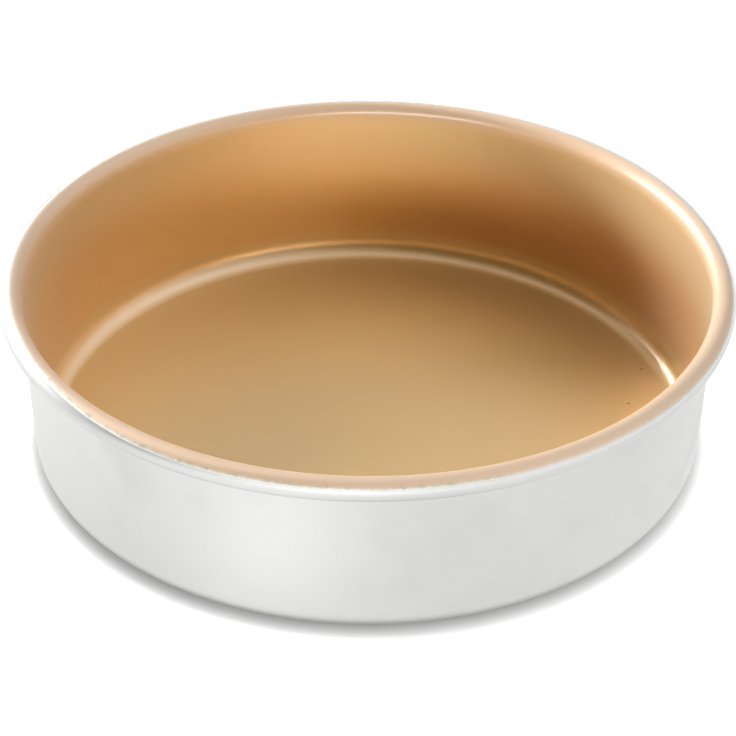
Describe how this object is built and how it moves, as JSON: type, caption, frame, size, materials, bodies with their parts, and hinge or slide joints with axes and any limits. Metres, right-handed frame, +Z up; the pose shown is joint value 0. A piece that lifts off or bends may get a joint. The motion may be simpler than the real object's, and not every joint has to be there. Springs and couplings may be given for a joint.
{
  "type": "round cake tin",
  "caption": "Round cake tin: a drawn metal pan with a leaning wall, a rolled rim stiffened by a wire, and a gold non-stick film over its inside.",
  "frame": {"origin": "middle of the flat underside, on the surface that the tin stands on", "axes": "+Z up along the tin's axis of revolution, towards its mouth; +X and +Y lie in the underside, with the joint of the rim's wire on +Y"},
  "size_m": [0.2434, 0.2434, 0.063],
  "materials": {
    "bare_metal": "bare satin sheet, rolled and drawn, with faint smudges",
    "wire": "drawn steel wire with a dull zinc coat",
    "coating": "baked non-stick film, gold with a fine pearl, semi-gloss"
  },
  "bodies": {
    "root": {"pan_shell": "bare_metal", "rim_wire": "wire", "nonstick_coating": "coating"}
  },
  "joints": []
}
